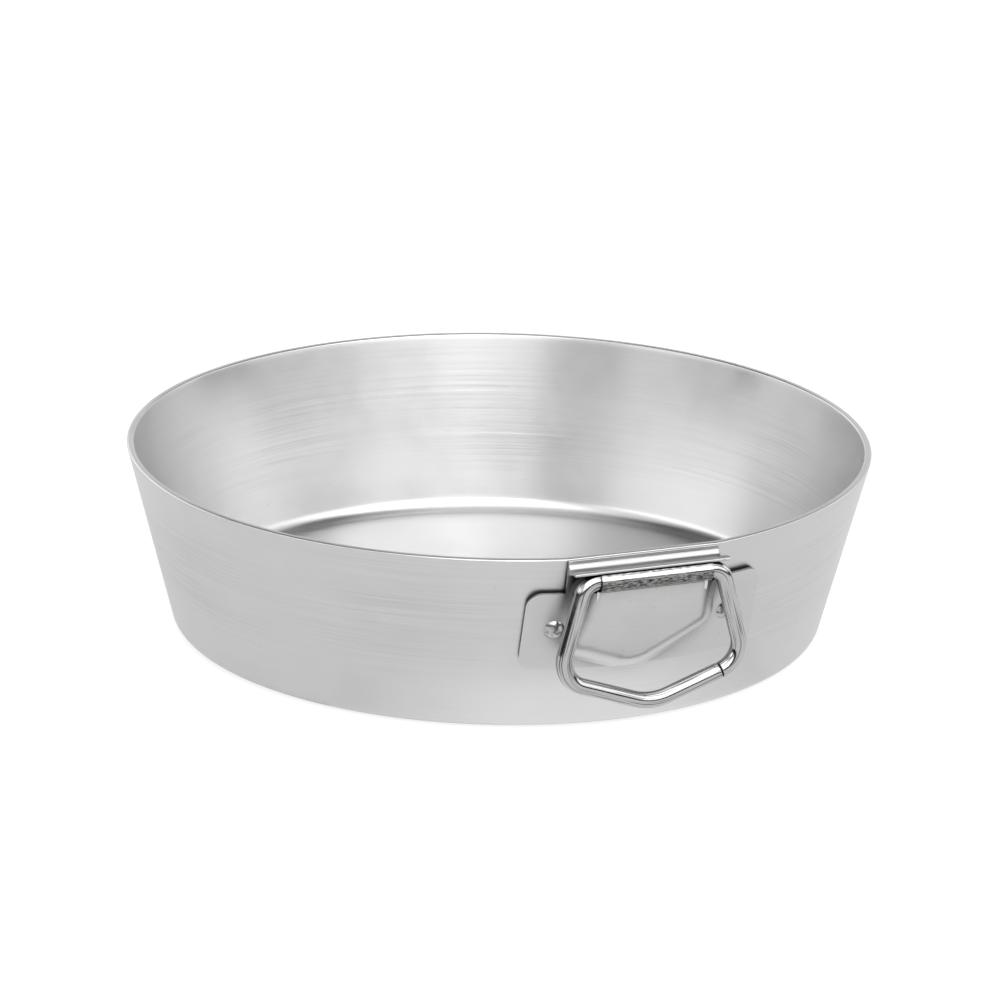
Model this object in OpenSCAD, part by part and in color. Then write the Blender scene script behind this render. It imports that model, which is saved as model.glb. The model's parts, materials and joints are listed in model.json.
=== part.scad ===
// Round spun-aluminium pan with one riveted drop handle.
// Millimetres, +Z up. The origin is the middle of the underside of the base,
// and the handle is at the front, on the -Y side.

/* [Pan] */
// Outer diameter across the rim
rim_d = 320; // [280:1:400]
// Height from the underside of the base to the rim
pan_h = 80; // [74:1:120]
// Lean of the wall outwards from upright, in degrees
wall_lean = 14.6; // [10:0.1:18]
// Thickness of the wall, measured square to it
wall_t = 3; // [2:0.1:4]
// Thickness of the floor
floor_t = 3; // [2:0.1:5]
// Outside radius where the floor turns up into the wall
heel_r = 6; // [4:0.5:10]
// Inside radius where the floor turns up into the wall
bowl_r = 7; // [5:0.5:12]

/* [Flat pressed into the wall behind the hinge] */
// Width of the flat at the rim
flat_w = 66; // [60:1:72]
// Height of the flat, from the rim down
flat_h = 26; // [20:1:30]
// Height over which the flat runs out into the round wall below it
flat_fade = 14; // [10:1:18]

/* [Hinge bracket] */
// Thickness of the bracket's sheet
sheet_t = 1.2; // [1:0.1:1.6]
// Width across the two ears
bracket_w = 104; // [98:1:110]
// How far the ears' middle sits to the right of the flat's middle
ears_shift = 4.2; // [2:0.1:4.6]
// Height of the ears
bracket_h = 35.5; // [34:0.5:40]
// Distance from the rim down to the top edge of the ears
ear_drop = 15; // [14:0.5:18]
// Radius of the ears' corners
ear_r = 6; // [3:0.5:9]
// Width of the apron that lies on the flat above the ears
apron_w = 66; // [60:1:68]
// Distance from the rim down to the top edge of the apron
apron_drop = 0.4; // [0.3:0.1:2]
// Width of the hood over the hinge
hood_w = 69; // [64:0.5:72]
// How far the hood's middle sits to the right of the flat's middle
hood_shift = 1.2; // [0:0.1:2]
// How far the hood reaches out past the hinge axis
hood_reach = 2.5; // [2:0.1:3]
// Slope of the hood's shelf between apron and hinge, in degrees
shelf_lean = 20; // [14:1:24]
// Radius in the corner between apron and shelf
shelf_r = 1.6; // [1:0.1:2]

/* [Pocket drawn in the bracket] */
// Height of the pocket's face over the round wall
pocket_rise = 4; // [3.4:0.1:4.4]
// Radius along the edge of the pocket's face
pocket_r = 5; // [4.5:0.1:5.5]
// Width of the flat part of the pocket's face at its open top
pocket_w = 47; // [40:0.5:48]
// Distance from the left rivet in to the left shoulder of the face
left_gap = 9.7; // [9.4:0.1:13]
// Height of the left shoulder above the ears' lower edge
left_up = 11.5; // [10:0.5:20]
// Distance from the right rivet in to the right shoulder of the face
right_gap = 13.2; // [12.6:0.1:15]
// Height of the right shoulder above the ears' lower edge
right_up = 19; // [14:0.5:24]
// How far the rounded point of the face sits to the left of the handle's middle
point_left = 5; // [0:0.5:8]
// Height of the point above the ears' lower edge
point_up = 3; // [2:0.1:6]
// Radius of the point, seen from the front
point_r = 14; // [6:1:20]
// How far the pocket's foot spreads beyond its face
pocket_spread = 4; // [3:0.1:5]

/* [Hinge] */
// How far handle, sleeve, pocket and rivets sit to the right of the flat's middle
side_shift = 2.6; // [0:0.1:3]
// Distance of the hinge axis in front of the flat, at the axis's own height
axis_off = 8.2; // [8:0.1:9]
// Distance from the rim down to the hinge axis
axis_drop = 8.7; // [8.5:0.1:9.2]
// Length of the sleeve
sleeve_w = 49; // [40:0.5:49]
// Thickness of the sleeve's strip
strip_t = 1; // [0.8:0.1:1.2]
// Length of the sleeve's tail below the hinge axis, along the pocket's face
tail_h = 9.2; // [8:0.1:11]
// Angle at which the strip starts over the front of the wire, up from level
sleeve_start = 48; // [40:1:50]
// Angle at which the strip leaves the wire for its tail
sleeve_stop = -125; // [-130:1:-120]
// Running clearance between the wire and what it turns in
turn_gap = 0.1; // [0.05:0.01:0.1]
// Distance from the sleeve's barrel down to the pocket's open top
pocket_gap = 0.6; // [0.4:0.1:1]
// Clearance between the handle's bends and the hood's ends
wing_gap = 0.35; // [0.3:0.05:0.5]

/* [Wire handle] */
// Diameter of the wire
wire_d = 7; // [6:0.1:7]
// Distance between the upper corners, on the middle of the wire
top_w = 60.4; // [60:0.2:66]
// Distance between the lower corners, on the middle of the wire
low_w = 82.6; // [74:0.2:90]
// Drop of the lower corners below the hinge axis
low_drop = 40.8; // [36:0.2:46]
// Drop of the handle's point below the hinge axis
tip_drop = 55.3; // [50:0.1:58]
// Bend radius at the upper corners, on the middle of the wire
top_bend = 7; // [6.5:0.1:7]
// Bend radius at the lower corners, on the middle of the wire
low_bend = 12; // [8:0.5:14]
// Bend radius at the point, on the middle of the wire
tip_bend = 24; // [12:1:30]
// Gap between the two ends of the wire
ends_gap = 0.4; // [0.3:0.1:0.8]

/* [Rivets] */
// Distance from an ear's end in to its rivet, were the ears set even
rivet_in = 14.3; // [13.2:0.1:15]
// Distance from the ears' top edge down to the rivets
rivet_down = 16.5; // [14:0.5:20]
// Diameter of the shank
shank_d = 5; // [4:0.1:6]
// Diameter of the domed head
head_d = 9.4; // [8:0.1:11]
// Height of the domed head
head_h = 3; // [2:0.1:4]
// Diameter of the formed tail inside the pan
tail_d = 8; // [7:0.1:10]
// Height of the formed tail
tail_t = 1.4; // [1:0.1:2.5]

/* [Fits] */
// How much fuller wire and hood are in their bends than in their straight runs
bend_swell = 0.02; // [0.02:0.01:0.04]
// Gap left between pieces that lie on each other
seat_gap = 0.05; // [0.02:0.01:0.1]
// Gap round a rivet's shank in its holes
hole_gap = 0.05; // [0.02:0.01:0.1]

/* [Hidden] */
$fn = 96;

rim_r = rim_d / 2;
lean_run = tan(wall_lean);
base_r = rim_r - pan_h * lean_run;
wire_r = wire_d / 2;
bore_r = wire_r + turn_gap;
barrel_r = bore_r + strip_t;
hood_r = bore_r + sheet_t;
axis_z = pan_h - axis_drop;
ears_top = pan_h - ear_drop;
ears_low = ears_top - bracket_h;
rivet_z = ears_top - rivet_down;
// Distance from the pan's centre line to the flat, at the rim
flat_out = sqrt(rim_r * rim_r - flat_w * flat_w / 4);
// Height of the pocket's open top
pocket_top = axis_z - barrel_r - pocket_gap;
// How far cutters run past what they cut
over = 1;
// Distance past the rim that lies in front of every piece
clear = 20;
// How far the wire's straight runs lap into its bends
run_lap = 0.3;
// How far the hood's bend laps its shelf and its lip, in degrees
bend_lap = 6;
// Share of the shelf's fillet that is filled, just short of its tangent points
fillet_share = 0.96;
// Narrow end of a rivet's tail as a share of its wide end
tail_share = 0.8;
// How far a shoulder of the pocket spreads downwards for each step sideways
shoulder_fall = 0.5;
// Directions along the pocket's point, in degrees from straight down
point_turns = [-20:16:28];

// Distance from the centre line to the round wall at height z, g outside it
function wall_out(z, g = 0) = base_r + z * lean_run + g / cos(wall_lean);

// Distance from the centre line to the flat at height z, g outside it
function flat_at(z, g = 0) = flat_out - (pan_h - z) * lean_run + g / cos(wall_lean);

axis_out = flat_at(axis_z) + axis_off;
// Distance of each rivet from the handle's middle
rivet_off = bracket_w / 2 - rivet_in;

// A section drawn as (distance in front of the centre line, height), w wide
module across(w) {
    rotate([90, 0, -90]) linear_extrude(w, center = true) children();
}

// A front view drawn as (sideways, height), carried out through the wall
module frontal(near, far) {
    rotate([90, 0, 0]) translate([0, 0, near]) linear_extrude(far - near) children();
}

module round_rect(w, h, r) {
    square([w - 2 * r, h], center = true);
    square([w, h - 2 * r], center = true);
    for (x = [-1, 1], y = [-1, 1]) translate([x * (w / 2 - r), y * (h / 2 - r)]) circle(r);
}

// Section of a bowl, from its bottom at height low to height high, rounded
// with radius r where the bottom meets the wall, g outside the outer face
module bowl_section(low, high, g, r) {
    corner = wall_out(low, g);
    reach = r * tan((90 - wall_lean) / 2);
    difference() {
        polygon([[0, low], [corner, low], [wall_out(high, g), high], [0, high]]);
        difference() {
            polygon([
                [corner - reach, low - over],
                [corner + over, low - over],
                [wall_out(low + reach * cos(wall_lean), g) + over, low + reach * cos(wall_lean)],
                [corner - reach, low + r],
            ]);
            translate([corner - reach, low + r]) circle(r);
        }
    }
}

// Everything in front of the flat and of its run-out, g outside the outer face
module flat_cutter(g) {
    flat_low = pan_h - flat_h;
    fade_low = flat_low - flat_fade;
    far = rim_r + clear;
    across(flat_w + clear)
        polygon([
            [flat_at(pan_h + over, g), pan_h + over],
            [flat_at(flat_low, g), flat_low],
            [wall_out(fade_low, g), fade_low],
            [far, fade_low],
            [far, pan_h + over],
        ]);
}

// The space within the pan's outer face, flat included, grown outwards by g
module within_wall(g) {
    difference() {
        rotate_extrude()
            polygon([[0, 0], [wall_out(0, g), 0], [wall_out(pan_h, g), pan_h], [0, pan_h]]);
        flat_cutter(g);
    }
}

// Puts its children on a rivet's line, +Z out of the wall from its outer face
module at_rivet(side) {
    rotate([0, 0, asin((side_shift + side * rivet_off) / wall_out(rivet_z))])
        translate([0, -wall_out(rivet_z), rivet_z])
        rotate([90 + wall_lean, 0, 0])
        children();
}

module rivet_holes() {
    for (side = [-1, 1])
        at_rivet(side)
        translate([0, 0, -wall_t - over])
        cylinder(r = shank_d / 2 + hole_gap, h = wall_t + sheet_t + 2 * over);
}

module pan_body() {
    color("silver")
    difference() {
        rotate_extrude($fn = 180) bowl_section(0, pan_h, 0, heel_r);
        difference() {
            rotate_extrude($fn = 180) bowl_section(floor_t, pan_h + over, -wall_t, bowl_r);
            flat_cutter(-wall_t);
        }
        flat_cutter(0);
        rivet_holes();
    }
}

// Front outline of the sheet that lies on the wall: ears, and apron above
module sheet_outline() {
    translate([ears_shift, (ears_top + ears_low) / 2]) round_rect(bracket_w, bracket_h, ear_r);
    translate([-apron_w / 2, ears_top - ear_r]) square([apron_w, pan_h - apron_drop - ears_top + ear_r]);
}

// Rounded block of the drawn pocket, shrunk by g all over
module pocket_block(g) {
    top = pocket_top + 2 * pocket_r;
    foot = pocket_rise + wall_t;
    // Each corner of the face: sideways from the handle's middle, height, and which
    // way its foot spreads
    corners = [
        [-pocket_w / 2, top, [-1, 0]],
        [pocket_w / 2, top, [1, 0]],
        [left_gap - rivet_off, ears_low + left_up, [-1, -shoulder_fall]],
        [rivet_off - right_gap, ears_low + right_up, [1, -shoulder_fall]],
        for (turn = point_turns)
            [
                -point_left + point_r * sin(turn),
                ears_low + point_up + point_r * (1 - cos(turn)),
                [sin(turn), -cos(turn)],
            ],
    ];
    hull()
        for (c = corners, deep = [0, 1])
            translate([
                side_shift + c[0] + deep * pocket_spread * c[2][0],
                -wall_out(c[1], pocket_rise - pocket_r - deep * foot),
                c[1] + deep * pocket_spread * c[2][1],
            ])
            sphere(pocket_r - g, $fn = 32);
}

// Section of the hood: shelf out of the apron, then level over the wire
module hood_section() {
    shelf = (axis_out - flat_at(axis_z, seat_gap)) / cos(shelf_lean);
    flat_t = sheet_t - bend_swell;
    difference() {
        union() {
            // Shelf, rising outwards from inside the apron
            translate([axis_out, axis_z]) rotate(shelf_lean) translate([-shelf, bore_r]) square([shelf, flat_t]);
            // Bend over the top of the wire, lapping shelf and lip by a few degrees
            translate([axis_out, axis_z])
                intersection() {
                    circle(hood_r);
                    polygon([
                        [0, 0],
                        2 * hood_r * [-sin(shelf_lean + bend_lap), cos(shelf_lean + bend_lap)],
                        2 * hood_r * [sin(bend_lap), cos(bend_lap)],
                    ]);
                }
            translate([axis_out, axis_z + bore_r]) square([hood_reach, flat_t]);
        }
        translate([axis_out, axis_z]) circle(bore_r);
    }
}

// Fills the corner between the apron's face and the top of the shelf
module shelf_fillet() {
    face_turn = 90 - wall_lean;
    half = (face_turn - shelf_lean) / 2;
    // The corner lies where the shelf's top meets the apron's face
    shelf_top = axis_z + (hood_r - bend_swell) / cos(shelf_lean);
    face = flat_at(shelf_top, seat_gap + sheet_t);
    run = (axis_out - face) / (1 - tan(shelf_lean) * lean_run);
    reach = fillet_share * shelf_r / tan(half);
    middle = shelf_r / sin(half);
    translate([axis_out - run, shelf_top - run * tan(shelf_lean)])
        difference() {
            polygon([
                -sheet_t / 4 * [cos(shelf_lean + half), sin(shelf_lean + half)],
                reach * [cos(shelf_lean), sin(shelf_lean)],
                reach * [cos(face_turn), sin(face_turn)],
            ]);
            translate(middle * [cos(shelf_lean + half), sin(shelf_lean + half)]) circle(shelf_r);
        }
}

// Everything below the pocket's open top
module below_pocket_top() {
    translate([-bracket_w, -2 * rim_r, 0]) cube([2 * bracket_w, 2 * rim_r, pocket_top]);
}

module hinge_bracket() {
    color("gainsboro")
    difference() {
        union() {
            intersection() {
                frontal(rim_r / 2, rim_r + clear) sheet_outline();
                difference() {
                    union() {
                        // Sheet on the wall
                        within_wall(seat_gap + sheet_t);
                        // Pocket drawn out of it, open at its top
                        intersection() {
                            pocket_block(0);
                            below_pocket_top();
                        }
                    }
                    intersection() {
                        pocket_block(sheet_t);
                        below_pocket_top();
                    }
                }
            }
            translate([hood_shift, 0, 0]) across(hood_w) hood_section();
            across(apron_w) shelf_fillet();
        }
        within_wall(seat_gap);
        rivet_holes();
        // Room for the handle's bends under the hood's two ends
        for (side = [-1, 1])
            translate([side_shift + side * (sleeve_w / 2 + hood_w), 0, 0])
            across(2 * hood_w) {
                translate([axis_out, axis_z]) circle(wire_r + wing_gap);
                translate([axis_out, axis_z]) square([2 * hood_r, wire_r + wing_gap]);
            }
    }
}

module hinge_sleeve() {
    face = wall_out(axis_z, pocket_rise + seat_gap);
    // The strip runs round the wire from sleeve_start down to sleeve_stop
    behind = sleeve_stop - 90;
    color("darkgray")
    translate([side_shift, 0, 0])
        across(sleeve_w)
        difference() {
            union() {
                translate([axis_out, axis_z])
                    difference() {
                        circle(barrel_r);
                        // Open at the top and the back
                        polygon([
                            [0, 0],
                            3 * barrel_r * [cos(sleeve_start), sin(sleeve_start)],
                            3 * barrel_r * [-1, 1],
                            3 * barrel_r * [cos(behind), sin(behind)],
                            3 * barrel_r * [cos(sleeve_stop), sin(sleeve_stop)],
                        ]);
                    }
                // Tail that laps the pocket's face
                translate([face, axis_z])
                    rotate(-wall_lean)
                    translate([0, -tail_h])
                    square([strip_t, tail_h - wire_r]);
            }
            translate([axis_out, axis_z]) circle(bore_r);
        }
}

// A domed head, a shank through bracket and wall, and a formed tail inside
module rivet(side) {
    dome_r = (head_d * head_d / 4 + head_h * head_h) / (2 * head_h);
    seat = sheet_t + 2 * seat_gap;
    inside = wall_t + seat_gap;
    color("lightgray")
    at_rivet(side) {
        translate([0, 0, seat])
            intersection() {
                translate([0, 0, head_h - dome_r]) sphere(dome_r);
                cylinder(d = 2 * head_d, h = 2 * head_h);
            }
        translate([0, 0, -inside - tail_t / 2]) cylinder(d = shank_d, h = inside + tail_t / 2 + seat + head_h / 2);
        translate([0, 0, -inside - tail_t]) cylinder(d1 = tail_d * tail_share, d2 = tail_d, h = tail_t);
    }
}

module rivet_left() {
    rivet(-1);
}

module rivet_right() {
    rivet(1);
}

// Heading from one corner of the wire's outline to the next, in degrees
function heading(from, to) = atan2(to[1] - from[1], to[0] - from[0]);

// Wire of radius r bent along a closed outline, with a bend radius at each
// corner; the straight runs lap into the bends, which are fuller by swell
module bent_wire(corners, bends, r, swell) {
    count = len(corners);
    turns = [
        for (i = [0:count - 1])
            let (
                into = heading(corners[(i + count - 1) % count], corners[i]),
                out = heading(corners[i], corners[(i + 1) % count])
            )
            (out - into + 540) % 360 - 180
    ];
    trims = [for (i = [0:count - 1]) bends[i] * tan(abs(turns[i]) / 2)];
    for (i = [0:count - 1]) {
        next = (i + 1) % count;
        away = heading(corners[i], corners[next]);
        span = norm(corners[next] - corners[i]);
        // Straight run to the next bend
        translate(corners[i]) rotate(away) translate([trims[i] - run_lap, 0, 0])
            rotate([0, 90, 0]) cylinder(r = r, h = span - trims[i] - trims[next] + 2 * run_lap);
        // Bend at this corner, turning anticlockwise
        translate(corners[i]) rotate(away - turns[i])
            translate([-trims[i], bends[i], 0])
            rotate(-90)
            rotate_extrude(angle = turns[i]) translate([bends[i], 0]) circle(r + swell);
    }
}

module wire_handle() {
    corners = [
        [top_w / 2, 0],
        [-top_w / 2, 0],
        [-low_w / 2, -low_drop],
        [0, -tip_drop],
        [low_w / 2, -low_drop],
    ];
    bends = [top_bend, top_bend, low_bend, tip_bend, low_bend];
    // The wire's two ends meet at the start of the lower right bend
    low_in = heading([0, -tip_drop], [low_w / 2, -low_drop]);
    low_out = heading([low_w / 2, -low_drop], [top_w / 2, 0]);
    ends_at = low_bend * tan((low_out - low_in) / 2);
    color("lightsteelblue")
    translate([side_shift, -axis_out, axis_z])
        rotate([90, 0, 0])
        difference() {
            bent_wire(corners, bends, wire_r, bend_swell);
            translate([low_w / 2, -low_drop, 0])
                rotate(low_in)
                translate([-ends_at - ends_gap, -wire_d, -wire_d])
                cube([ends_gap, 2 * wire_d, 2 * wire_d]);
        }
}

pan_body();
hinge_bracket();
hinge_sleeve();
rivet_left();
rivet_right();
wire_handle();
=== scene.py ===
"""Dresses the shallow spun-aluminium pan: camera, studio, and one class for each sub-assembly.

Lengths in the dataclasses are millimetres, as a maker states them. Meshes are written in metres.
The pan stands on the ground at the origin, with its handle on the -Y side.
"""

import json
import logging
import math
from collections.abc import Callable
from dataclasses import dataclass
from enum import Enum
from typing import Any

import bmesh
import bpy
import numpy as np
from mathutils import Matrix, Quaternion, Vector


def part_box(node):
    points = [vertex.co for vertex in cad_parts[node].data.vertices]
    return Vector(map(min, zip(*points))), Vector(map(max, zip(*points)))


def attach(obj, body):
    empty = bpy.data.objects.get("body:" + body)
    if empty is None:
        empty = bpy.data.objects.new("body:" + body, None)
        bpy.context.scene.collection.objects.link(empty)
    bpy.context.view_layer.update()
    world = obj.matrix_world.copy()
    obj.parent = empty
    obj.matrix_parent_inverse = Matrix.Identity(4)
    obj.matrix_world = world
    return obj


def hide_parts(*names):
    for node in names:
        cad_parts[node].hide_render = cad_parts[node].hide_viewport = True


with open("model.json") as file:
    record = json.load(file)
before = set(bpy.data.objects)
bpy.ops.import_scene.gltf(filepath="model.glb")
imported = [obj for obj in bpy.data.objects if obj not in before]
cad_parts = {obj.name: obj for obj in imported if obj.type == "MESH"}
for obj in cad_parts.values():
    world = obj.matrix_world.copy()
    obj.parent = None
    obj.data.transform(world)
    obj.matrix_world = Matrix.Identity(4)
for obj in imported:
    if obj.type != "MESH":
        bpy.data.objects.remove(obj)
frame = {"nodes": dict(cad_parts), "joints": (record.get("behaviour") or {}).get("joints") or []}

LOG = logging.getLogger("pan")
MM = 0.001
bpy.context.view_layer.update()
# Steps across and up a card or cloth of the studio
CARD_STEPS, CARD_RISES = 49, 9

Array = np.ndarray
Socket = bpy.types.NodeSocket
Tree = bpy.types.NodeTree


def cad_side(node: str, end: int, way: int) -> float:
    """Side of a CAD node's box in millimetres: end 0 or 1, way 0 to 2 for X to Z."""
    return round(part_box(node)[end][way] / MM, 1)


def cad_across(node: str) -> tuple[float, float]:
    """Middle and width of a CAD node along X, in millimetres."""
    low, high = (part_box(node)[end][0] / MM for end in (0, 1))
    return round((low + high) / 2, 1), round(high - low, 1)


HINGE = frame["joints"][0]["pos_m"]
# Hinge axis: (distance in front of the centre line, height)
AXIS = (round(-HINGE[1] / MM, 3), round(HINGE[2] / MM, 3))
SIDE_SHIFT, SLEEVE_W = cad_across("hinge_sleeve")
EARS_SHIFT, EARS_W = cad_across("hinge_bracket")


class Body(Enum):
    """The two bodies that pieces ride on."""

    PAN = "pan"
    HANDLE = "handle"


class Slot(Enum):
    """The record's material slots."""

    PAN = "pan_aluminium"
    BRACKET = "bracket_aluminium"
    SLEEVE = "sleeve_metal"
    RIVET = "rivet_aluminium"
    WIRE = "wire_steel"


# ---------------------------------------------------------------- materials


def linear(code: str) -> tuple[float, float, float, float]:
    """Turns an sRGB hex colour into linear light.

    Args:
        code: Six hex digits with a leading #.

    Returns:
        Linear red, green, blue and an alpha of 1.
    """
    parts = np.array([int(code[i : i + 2], 16) for i in (1, 3, 5)]) / 255
    light = np.where(parts <= 0.04045, parts / 12.92, ((parts + 0.055) / 1.055) ** 2.4)
    return (*(float(v) for v in light), 1.0)


def add(
    tree: Tree,
    kind: str,
    inputs: dict[str | int, Any] | None = None,
    out: int = 0,
    **settings: Any,
) -> Any:
    """Adds a shader node with its settings and links.

    Args:
        tree: The node tree.
        kind: Node type without its ShaderNode prefix.
        inputs: For each input's name or index, a value or the output socket to link.
        out: Index of the output to hand back.
        **settings: Properties of the node itself.

    Returns:
        That output socket, or the node itself where it has none.
    """
    node = tree.nodes.new("ShaderNode" + kind)
    for name, value in settings.items():
        setattr(node, name, value)
    for key, value in (inputs or {}).items():
        if isinstance(value, Socket):
            tree.links.new(value, node.inputs[key])
        else:
            node.inputs[key].default_value = value
    return node.outputs[out] if len(node.outputs) else node


def span(value: Socket, low: float, high: float, first: float, last: float) -> dict[str, Any]:
    """Inputs of a Map Range node that takes low..high to first..last."""
    return {"Value": value, "From Min": low, "From Max": high, "To Min": first, "To Max": last}


def grain(place: Socket, size: float, detail: float = 2.0, rough: float = 0.5) -> dict[str, Any]:
    """Inputs of a Noise node whose lumps are about size millimetres across."""
    return {"Vector": place, "Scale": 1 / (size * MM), "Detail": detail, "Roughness": rough}


SMOOTH = {"interpolation_type": "SMOOTHSTEP"}
TIMES = {"operation": "MULTIPLY"}
PLUS = {"operation": "ADD"}


@dataclass(frozen=True)
class Metal:
    """A bare metal finish: colour, polish, the marks that its making left, and painted shade in its
    corners.

    Attributes:
        name: The material's name.
        colour: Reflected colour as sRGB hex.
        roughness: Roughness between its marks.
        cloud: How much the roughness wanders from place to place.
        tint: How much the colour wanders from place to place.
        cloud_grain: Size of those cloudy patches in millimetres.
        turned: How much the sheen stretches across lines that run round the Z axis.
        painted_corner_shade: How much painted shade darkens its corners, creases and hollows, from
            0 to 1.
        corner_shade_reach: How wide a corner that gets this painted shade is, in millimetres.
    """

    name: str
    colour: str
    roughness: float
    cloud: float = 0.05
    tint: float = 0.03
    cloud_grain: float = 30.0
    turned: float = 0.0
    painted_corner_shade: float = 0.75
    corner_shade_reach: float = 2.4

    def marks(self, tree: Tree, place: Socket) -> tuple[Socket | None, Socket | None]:
        """Gives the height of the surface's marks and how much they darken it.

        Args:
            tree: The node tree.
            place: Object coordinates.

        Returns:
            Height in millimetres, and darkening from 0 to 1. Either may be None.
        """
        return None, None

    def material(self) -> bpy.types.Material:
        """Builds the material.

        Returns:
            The new material.
        """
        made = bpy.data.materials.new(self.name)
        made.use_nodes = True
        tree = made.node_tree
        shader = tree.nodes["Principled BSDF"]
        shader.inputs["Metallic"].default_value = 1.0
        place = add(tree, "TexCoord", out=3)
        if self.turned:
            around = add(tree, "VectorMath", {0: (0, 0, 1), 1: place}, operation="CROSS_PRODUCT")
            tree.links.new(around, shader.inputs["Tangent"])
            shader.inputs["Anisotropic"].default_value = self.turned
            # A quarter turn, so that the sheen runs across the turning lines
            shader.inputs["Anisotropic Rotation"].default_value = 0.25
        patch = add(tree, "TexNoise", grain(place, self.cloud_grain, 3.0))
        red, green, blue, _ = linear(self.colour)
        shade = add(tree, "MapRange", span(patch, 0.3, 0.7, 1 - self.tint, 1 + self.tint), **SMOOTH)
        height, dark = self.marks(tree, place)
        # Painted shade: the Ambient Occlusion node darkens corners, creases and hollows, where
        # shade would fall
        reach = {"Distance": self.corner_shade_reach * MM}
        opening = add(tree, "AmbientOcclusion", reach, out=1, samples=6)
        clean = add(tree, "MapRange", span(opening, 0.5, 0.93, 1 - self.painted_corner_shade, 1.0), **SMOOTH)
        shade = add(tree, "Math", {0: shade, 1: clean}, **TIMES)
        if dark is not None:
            left = add(tree, "Math", {0: 1.0, 1: dark}, operation="SUBTRACT")
            shade = add(tree, "Math", {0: shade, 1: left}, **TIMES)
        tone = add(tree, "VectorMath", {0: (red, green, blue), "Scale": shade}, operation="SCALE")
        tree.links.new(tone, shader.inputs["Base Color"])
        low, high = self.roughness - self.cloud, self.roughness + self.cloud
        polish = add(tree, "MapRange", span(patch, 0.3, 0.7, low, high), **SMOOTH)
        tree.links.new(polish, shader.inputs["Roughness"])
        if height is not None:
            bump = add(tree, "Bump", {"Height": height, "Strength": 1.0, "Distance": MM})
            tree.links.new(bump, shader.inputs["Normal"])
        return made


@dataclass(frozen=True)
class SpunAluminium(Metal):
    """Aluminium spun over a chuck: satin, with rings where the roller passed.

    The eye sees a soft grey-white sheen that stretches up and down the wall, fine
    rings round the axis, a few deeper rings half way up, and small stains.
    """

    fine_ring: float = 0.5
    broad_ring: float = 1.7
    ring_depth: float = 0.008
    ring_tone: float = 0.16
    broad_share: float = 7.0
    drift: float = 0.006
    band_rise: tuple[float, float] = (0.020, 0.034)
    band_fall: tuple[float, float] = (0.055, 0.070)
    patch_w: float = 60.0
    stain: float = 3.0

    def marks(self, tree: Tree, place: Socket) -> tuple[Socket | None, Socket | None]:
        """Rings are noise read at (distance from the axis, height), so they run round.

        Args:
            tree: The node tree.
            place: Object coordinates.

        Returns:
            Height in millimetres, and darkening from 0 to 1.
        """
        axes = add(tree, "SeparateXYZ", {0: place}).node.outputs
        flat = add(tree, "CombineXYZ", {0: axes[0], 1: axes[1]})
        out = add(tree, "VectorMath", {0: flat}, out=1, operation="LENGTH")
        # A ring fades in and out round the pan, so a little of the place itself joins in
        share = (self.drift, self.drift, 0.0)
        drift = add(tree, "VectorMath", {0: place, 1: share}, **TIMES)
        ring = add(tree, "CombineXYZ", {0: out, 2: axes[2]})
        ring = add(tree, "VectorMath", {0: ring, 1: drift}, **PLUS)
        fine = add(tree, "TexNoise", grain(ring, self.fine_ring, 3.0, 0.7))
        broad = add(tree, "TexNoise", grain(ring, self.broad_ring, 1.0))
        # The roller marked the middle of the wall most
        rise = add(tree, "MapRange", span(axes[2], *self.band_rise, 0.3, 1.0), **SMOOTH)
        fall = add(tree, "MapRange", span(axes[2], *self.band_fall, 1.0, 0.45), **SMOOTH)
        band = add(tree, "Math", {0: rise, 1: fall}, **TIMES)
        where = add(tree, "TexNoise", grain(place, self.patch_w, 1.0))
        patch = add(tree, "MapRange", span(where, 0.35, 0.65, 0.25, 1.0), **SMOOTH)
        weight = add(tree, "Math", {0: band, 1: patch}, **TIMES)
        coarse = add(tree, "Math", {0: broad, 1: self.broad_share}, **TIMES)
        coarse = add(tree, "Math", {0: coarse, 1: weight}, **TIMES)
        relief = add(tree, "Math", {0: fine, 1: coarse}, **PLUS)
        height = add(tree, "Math", {0: relief, 1: self.ring_depth}, **TIMES)
        line = add(tree, "MapRange", span(fine, 0.35, 0.7, 0.0, self.ring_tone), **SMOOTH)
        line = add(tree, "Math", {0: line, 1: weight}, **TIMES)
        spots = add(tree, "TexNoise", grain(place, self.stain, 2.0))
        stain = add(tree, "MapRange", span(spots, 0.74, 0.80, 0.0, 0.12), **SMOOTH)
        return height, add(tree, "Math", {0: line, 1: stain}, **PLUS)


@dataclass(frozen=True)
class StampedAluminium(Metal):
    """Rolled aluminium sheet, stamped and drawn: satin, with rolling streaks and specks.

    The eye sees an even pale grey with a few dark specks and a soft shine on each bend.
    """

    streak_w: float = 0.35
    streak_l: float = 9.0
    depth: float = 0.0015

    def marks(self, tree: Tree, place: Socket) -> tuple[Socket | None, Socket | None]:
        """Streaks are noise drawn out along the rolling direction, X.

        Args:
            tree: The node tree.
            place: Object coordinates.

        Returns:
            Height in millimetres, and darkening from 0 to 1.
        """
        squeeze = (self.streak_w / self.streak_l, 1.0, 1.0)
        squeezed = add(tree, "Mapping", {"Vector": place, "Scale": squeeze})
        streak = add(tree, "TexNoise", grain(squeezed, self.streak_w, 2.0, 0.6))
        spots = add(tree, "TexNoise", grain(place, 1.2, 1.0))
        speck = add(tree, "MapRange", span(spots, 0.77, 0.82, 0.0, 0.35), **SMOOTH)
        line = add(tree, "MapRange", span(streak, 0.4, 0.7, 0.0, 0.04), **SMOOTH)
        height = add(tree, "Math", {0: streak, 1: self.depth}, **TIMES)
        return height, add(tree, "Math", {0: line, 1: speck}, **PLUS)


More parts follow.
